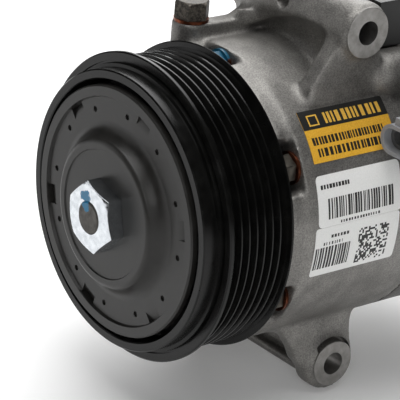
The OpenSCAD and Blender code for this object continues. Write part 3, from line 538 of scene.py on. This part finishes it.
def face_and_bore_ears(cast):
    """Machines the four ears, and bores the tube between the upper two."""
    for z, face_r in ((UPPER_EAR_Z, UPPER_FACE_R), (LOWER_EAR_Z, LOWER_FACE_R)):
        for side in (-1, 1):
            if z < 0:
                boolean(cast, relief(z, side), "DIFFERENCE")
            bore = LOCATING_BORE_R if side < 0 and z < 0 else BORE_R
            ends = sorted((side * (EAR_X - FACING_DEPTH), side * EAR_X))
            boolean(cast, from_bmesh("face", tube(face_r, bore, *ends, EAR_Y, z)), "UNION")
            start, end = (side * DRILL_FROM, EAR_Y, z), (side * DRILL_TO, EAR_Y, z)
            boolean(cast, drill(bore, start, end), "DIFFERENCE")
    start, end = (-TUBE_DRILL_TO, EAR_Y, UPPER_EAR_Z), (TUBE_DRILL_TO, EAR_Y, UPPER_EAR_Z)
    boolean(cast, drill(BORE_R, start, end), "DIFFERENCE")


def front_casting():
    cast = from_bmesh("front_casting", cad_bmesh("front_housing"))
    voxel_remesh(cast, 0.7)
    relax(cast.data, 48, held_front)
    face_and_bore_ears(cast)
    hole_x, hole_z = CLIP_HOLE
    start, end = ((hole_x, y, hole_z) for y in CLIP_HOLE_Y)
    boolean(cast, drill(CLIP_HOLE_R, start, end), "DIFFERENCE")
    skin, upper_metal, lower_metal = range(3)
    wear(cast, LOOKS["cast_housing"], FACED_UPPER, FACED_LOWER)
    for face in cast.data.polygons:
        y, z = face.center.y / MM - EAR_Y, face.center.z / MM
        upper = z > 0
        radius = math.hypot(y, z - (UPPER_EAR_Z if upper else LOWER_EAR_Z))
        on_face = abs(face.center.x) > (EAR_X - 0.3) * MM and radius < 10
        in_bore = radius < BORE_R + 0.15
        machined = on_face or in_bore
        face.material_index = (upper_metal if upper else lower_metal) if machined else skin
    smooth_by_angle(cast.data, 34)
    stand_for(cast, "front_housing")


def plain_casting(node, voxel, passes, held):
    cast = from_bmesh(node + "_casting", cad_bmesh(node))
    voxel_remesh(cast, voxel)
    relax(cast.data, passes, held)
    wear(cast, LOOKS[SLOTS[node]])
    smooth_by_angle(cast.data, 40)
    stand_for(cast, node)


def held_block(place):
    """Both seams stay as they are."""
    return ((place[:, 1] < SEAM_Y + 1.3) | (place[:, 1] > REAR_SEAM_Y - 1.3)).astype(float)


def held_rear(place):
    """The seam stays as it is."""
    return (place[:, 1] < REAR_SEAM_Y + 0.9).astype(float)


# ---- Parts with softened edges ---------------------------------------------------------------

def softened(node, width, angle=32.0, segments=2):
    """The CAD node's own shape with its sharp edges broken, as a moulded, pressed or turned part has them."""
    bm = cad_bmesh(node)
    bmesh.ops.dissolve_limit(bm, angle_limit=math.radians(0.4), verts=bm.verts, edges=bm.edges)
    sharp = [e for e in bm.edges if len(e.link_faces) == 2 and e.calc_face_angle(0) > math.radians(angle)]
    bmesh.ops.bevel(bm, geom=sharp, offset=width * MM, offset_type="OFFSET", segments=segments, profile=0.5,
                    affect="EDGES", clamp_overlap=True)
    made = from_bmesh(node + "_dressed", bm)
    smooth_by_angle(made.data, 34)
    weighted = made.modifiers.new("weighted", "WEIGHTED_NORMAL")
    weighted.keep_sharp = True
    apply_modifiers(made)
    wear(made, LOOKS[SLOTS[node]])
    stand_for(made, node)


# ---- Stickers --------------------------------------------------------------------------------
# Outlines are lists of (arc, y): millimetres of arc from +X towards +Z, and the place along the shaft.

def arc_of(degrees):
    return math.radians(degrees) * BODY_R


def block(y0, y1, degrees0, degrees1):
    arc0, arc1 = arc_of(degrees0), arc_of(degrees1)
    return [(arc0, y0), (arc1, y0), (arc1, y1), (arc0, y1)]


def rounded(y0, y1, degrees0, degrees1, radius, steps=6):
    """A block with rounded corners."""
    arc0, arc1 = arc_of(degrees0), arc_of(degrees1)
    corners = ((arc0 + radius, y0 + radius, 180), (arc1 - radius, y0 + radius, 270),
               (arc1 - radius, y1 - radius, 0), (arc0 + radius, y1 - radius, 90))
    points = []
    for arc, y, start in corners:
        for i in range(steps + 1):
            a = math.radians(start + 90 * i / steps)
            points.append((arc + radius * math.cos(a), y + radius * math.sin(a)))
    return points


def film_piece(name, outlines, low, high, material, node=None, step=1.5):
    """Closed thin plates that lie on the round body, between two heights above it."""
    bm = bmesh.new()
    for outline in outlines:
        bm.faces.new([bm.verts.new((arc, y, 0)) for arc, y in outline])
    arcs = [v.co.x for v in bm.verts]
    for i in range(math.ceil(min(arcs) / step), math.floor(max(arcs) / step) + 1):
        bmesh.ops.bisect_plane(bm, geom=bm.verts[:] + bm.edges[:] + bm.faces[:], dist=1e-4,
                               plane_co=(i * step, 0, 0), plane_no=(1, 0, 0))
    made = bmesh.ops.extrude_face_region(bm, geom=bm.faces[:], use_keep_orig=True)
    top = {item for item in made["geom"] if isinstance(item, bmesh.types.BMVert)}
    for v in bm.verts:
        reach = BODY_R + (high if v in top else low)
        angle, y = v.co.x / BODY_R, v.co.y
        v.co = Vector((reach * math.cos(angle), y, reach * math.sin(angle))) * MM
    bmesh.ops.recalc_face_normals(bm, faces=bm.faces)
    piece = wear(from_bmesh(name, bm), material)
    smooth_by_angle(piece.data, 30)
    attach(piece, "housing")
    if node:
        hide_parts(node)


def stripes(draw, y0, y1, degrees0, degrees1, widths, gaps):
    """Plain stripes across the shaft's direction, of random widths and gaps."""
    made = []
    y = y0
    while y < y1:
        width = draw.uniform(*widths)
        made.append(block(y, min(y + width, y1), degrees0, degrees1))
        y += width + draw.uniform(*gaps)
    return made


def blocks(draw, y0, y1, degrees0, degrees1, count, filled):
    """A square field of plain blocks, some of them filled. Neighbours in a row are one block."""
    made = []
    for i in range(count):
        start = None
        low = degrees0 + (degrees1 - degrees0) * i / count
        high = degrees0 + (degrees1 - degrees0) * (i + 1) / count
        for k in range(count + 1):
            full = k < count and draw.random() < filled
            if full and start is None:
                start = k
            if not full and start is not None:
                made.append(block(y0 + (y1 - y0) * start / count, y0 + (y1 - y0) * k / count, low, high))
                start = None
    return made


def upper_sticker():
    """Yellow film with a black band on top, and plain marks in place of print."""
    draw = random.Random(4)
    front, rear, top = 26.4, 67, 48.9
    film_piece("upper_sticker_film", [block(front, rear, 28.9, top)], 0.0, FILM_T, LOOKS["sticker_yellow"],
               "upper_sticker")
    band = block(front, rear, 41.4, top)
    film_piece("upper_sticker_band", [band], INK_LOW, INK_HIGH, INK)
    marks = stripes(draw, 37.4, 64.6, 42.7, 47.0, (0.8, 1.9), (0.6, 1.5))
    # The four sides of a plain square
    marks += [block(29.6, 34.4, 42.6, 43.1), block(29.6, 34.4, 46.4, 46.9), block(29.6, 30.2, 43.1, 46.4),
              block(33.8, 34.4, 43.1, 46.4)]
    film_piece("upper_sticker_marks", marks, INK_HIGH - 0.01, INK_HIGH + 0.03, YELLOW_INK)
    rows = stripes(draw, 28.4, 62.5, 35.4, 38.3, (0.5, 1.3), (0.3, 0.8))
    rows += stripes(draw, 29.6, 60.0, 30.9, 34.0, (0.7, 1.7), (0.4, 0.9))
    film_piece("upper_sticker_rows", rows, INK_LOW, INK_HIGH, INK)


def lower_sticker():
    """Two white labels side by side, with plain stripes and a random block field in place of print."""
    draw = random.Random(9)
    halves = [rounded(25.5, 65.8, 5.15, 24.4, 1.8), rounded(24.3, 65.0, -14.7, 5.05, 1.3)]
    film_piece("lower_sticker_film", halves, 0.0, FILM_T, LOOKS["sticker_white"],
               "lower_sticker")
    marks = stripes(draw, 27.3, 41.0, 19.3, 20.9, (0.8, 1.3), (0.3, 0.6))
    marks += stripes(draw, 30.1, 61.8, 7.9, 15.6, (0.3, 1.2), (0.25, 0.8))
    marks += stripes(draw, 36.0, 55.4, 5.7, 6.7, (0.5, 1.0), (0.4, 0.8))
    marks += stripes(draw, 31.8, 40.6, 0.6, 1.8, (0.6, 1.2), (0.4, 0.7))
    marks += stripes(draw, 28.4, 37.5, -2.0, -0.8, (0.4, 0.7), (0.5, 0.9))
    marks += stripes(draw, 24.9, 41.5, -11.7, -2.7, (0.4, 1.1), (0.3, 0.8))
    marks += blocks(draw, 45.4, 60.2, -13.0, 1.5, 19, 0.5)
    film_piece("lower_sticker_marks", marks, INK_LOW, INK_HIGH, INK)


# ---- Make the object -------------------------------------------------------------------------

for name, obj in NODES.items():
    wear(obj, LOOKS[SLOTS[name]])

front_casting()
plain_casting("cylinder_block", 0.8, 40, held_block)
plain_casting("rear_housing", 0.8, 40, held_rear)
for name, width in (("hub_nut", 0.2), ("through_bolts", 0.3), ("oil_plug", 0.35), ("port_cover", 0.8),
                    ("connector_socket", 0.3), ("relief_valve", 0.25), ("port_cover_screw", 0.3),
                    ("hub_disc", 0.22)):
    softened(name, width)
upper_sticker()
lower_sticker()


# ---- Floor, light and camera -----------------------------------------------------------------
# Lengths are in metres here, apart from the lens and the sensor, which are in millimetres.

CAMERA_AZIMUTH = math.radians(50.66)
CAMERA_ELEVATION = math.radians(22.65)
CAMERA_ROLL = math.radians(4.64)
CAMERA_DISTANCE = 0.8819
CAMERA_ASIDE = 0.0123
LENS = 211.9
SENSOR = 36.0
FLOOR_GAP = 0.0002


def camera():
    """Stands where the photograph's pulley circles put it, and looks past the origin by CAMERA_ASIDE."""
    level = Vector((math.cos(CAMERA_AZIMUTH), math.sin(CAMERA_AZIMUTH), 0))
    back = Vector((math.sin(CAMERA_AZIMUTH) * math.cos(CAMERA_ELEVATION),
                   -math.cos(CAMERA_AZIMUTH) * math.cos(CAMERA_ELEVATION), math.sin(CAMERA_ELEVATION)))
    upright = back.cross(level)
    right = level * math.cos(CAMERA_ROLL) + upright * math.sin(CAMERA_ROLL)
    up = back.cross(right)
    data = bpy.data.cameras.new("camera")
    data.lens = LENS
    data.sensor_width = SENSOR
    data.clip_start = 0.01
    data.clip_end = 50
    made = new_object("camera", data)
    turn = Matrix((right, up, back)).transposed().to_4x4()
    made.matrix_world = Matrix.Translation(back * CAMERA_DISTANCE + right * CAMERA_ASIDE) @ turn
    bpy.context.scene.camera = made


def floor():
    """A plain light floor just under the part, with a faint glow that keeps its shade light."""
    bm = bmesh.new()
    bmesh.ops.create_grid(bm, x_segments=8, y_segments=8, size=6.0)
    made = from_bmesh("floor", bm)
    made.location.z = cad_low.z - FLOOR_GAP
    f = Finish("floor", specular=0.2)
    tone = f.mix(f.noise(400.0), (0.86, 0.86, 0.86, 1), (0.9, 0.9, 0.9, 1))
    f.set(tone, 0.6)
    f.shader.inputs["Emission Color"].default_value = (1, 1, 1, 1)
    f.shader.inputs["Emission Strength"].default_value = 0.13
    wear(made, f.material)


def area_light(name, direction, distance, size, power):
    """A soft box in that direction from the object, facing it."""
    data = bpy.data.lights.new(name, "AREA")
    data.shape = "RECTANGLE"
    data.size, data.size_y = size
    data.energy = power
    made = new_object(name, data)
    aim = Vector((0, 0.03, 0))
    place = aim + Vector(direction).normalized() * distance
    made.location = place
    made.rotation_mode = "QUATERNION"
    made.rotation_quaternion = (place - aim).to_track_quat("Z", "Y")


def world(bright_side, low, high):
    """A plain studio surround, brighter towards one side."""
    made = bpy.data.worlds.new("studio")
    made.use_nodes = True
    tree = made.node_tree
    coordinates = tree.nodes.new("ShaderNodeTexCoord")
    across = tree.nodes.new("ShaderNodeVectorMath")
    across.operation = "DOT_PRODUCT"
    across.inputs[1].default_value = Vector(bright_side).normalized()
    strength = tree.nodes.new("ShaderNodeMapRange")
    strength.inputs["From Min"].default_value = -1.0
    strength.inputs["To Min"].default_value = low
    strength.inputs["To Max"].default_value = high
    tree.links.new(coordinates.outputs["Generated"], across.inputs[0])
    tree.links.new(across.outputs["Value"], strength.inputs["Value"])
    tree.links.new(strength.outputs["Result"], tree.nodes["Background"].inputs["Strength"])
    bpy.context.scene.world = made


camera()
floor()
world((-0.55, 0.35, 0.6), low=0.15, high=0.60)
area_light("back_left", (-0.55, 0.60, 0.62), distance=1.5, size=(1.5, 1.3), power=23)
area_light("overhead", (0.05, -0.05, 1.0), distance=1.6, size=(1.4, 1.4), power=24)
area_light("front_left", (-0.9, -0.9, 0.35), distance=1.8, size=(0.9, 1.2), power=3)
area_light("camera_side", (0.72, -0.66, 0.58), distance=1.8, size=(0.6, 0.6), power=4)
area_light("right_side", (1.0, -0.25, 0.25), distance=1.8, size=(1.2, 1.2), power=3)
bpy.context.scene.view_settings.view_transform = "Standard"
